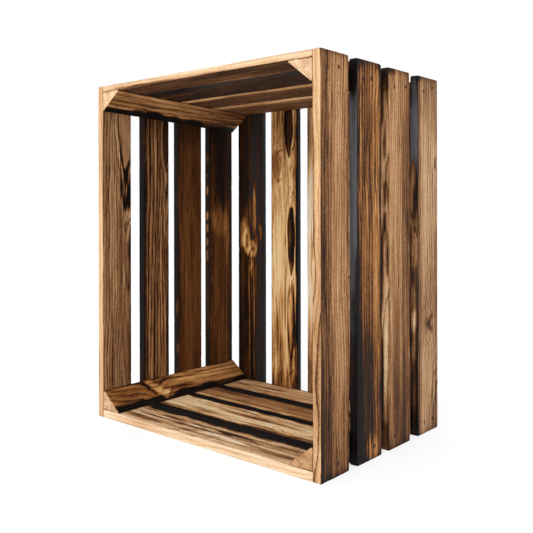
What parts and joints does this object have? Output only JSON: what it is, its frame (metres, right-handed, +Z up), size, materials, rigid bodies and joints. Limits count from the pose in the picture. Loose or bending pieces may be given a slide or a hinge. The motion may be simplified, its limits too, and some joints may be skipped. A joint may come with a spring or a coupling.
{
  "type": "apple crate",
  "caption": "Slatted wooden apple crate of torched boards nailed to triangular corner posts, open on one long face, standing on its short end.",
  "frame": {"origin": "centre of the footprint, on the ground under the lower short end", "axes": "+X to the right across the crate, +Y from the open side to the slatted base, +Z up along the crate's length"},
  "size_m": [0.41, 0.3, 0.5],
  "materials": {
    "side_boards": "torched rough-sawn pine, matt",
    "top_end_boards": "torched rough-sawn pine, matt, dark brown",
    "bottom_end_boards": "lightly torched rough-sawn pine, matt",
    "base_boards": "torched rough-sawn pine with charred streaks, matt",
    "posts": "torched sawn pine strip with raw cut ends, matt",
    "nails": "heat-darkened bright wire nail"
  },
  "bodies": {
    "root": {"left_side_slat_1": "side_boards", "left_side_slat_2": "side_boards", "left_side_slat_3": "side_boards", "left_side_slat_4": "side_boards", "right_side_slat_1": "side_boards", "right_side_slat_2": "side_boards", "right_side_slat_3": "side_boards", "right_side_slat_4": "side_boards", "top_end_slat_1": "top_end_boards", "top_end_slat_2": "top_end_boards", "top_end_slat_3": "top_end_boards", "top_end_slat_4": "top_end_boards", "bottom_end_slat_1": "bottom_end_boards", "bottom_end_slat_2": "bottom_end_boards", "bottom_end_slat_3": "bottom_end_boards", "bottom_end_slat_4": "bottom_end_boards", "base_slat_1": "base_boards", "base_slat_2": "base_boards", "base_slat_3": "base_boards", "base_slat_4": "base_boards", "base_slat_5": "base_boards", "upper_left_post": "posts", "upper_right_post": "posts", "lower_left_post": "posts", "lower_right_post": "posts", "left_side_nails": "nails", "right_side_nails": "nails", "top_end_nails": "nails", "bottom_end_nails": "nails", "base_nails": "nails"}
  },
  "joints": []
}
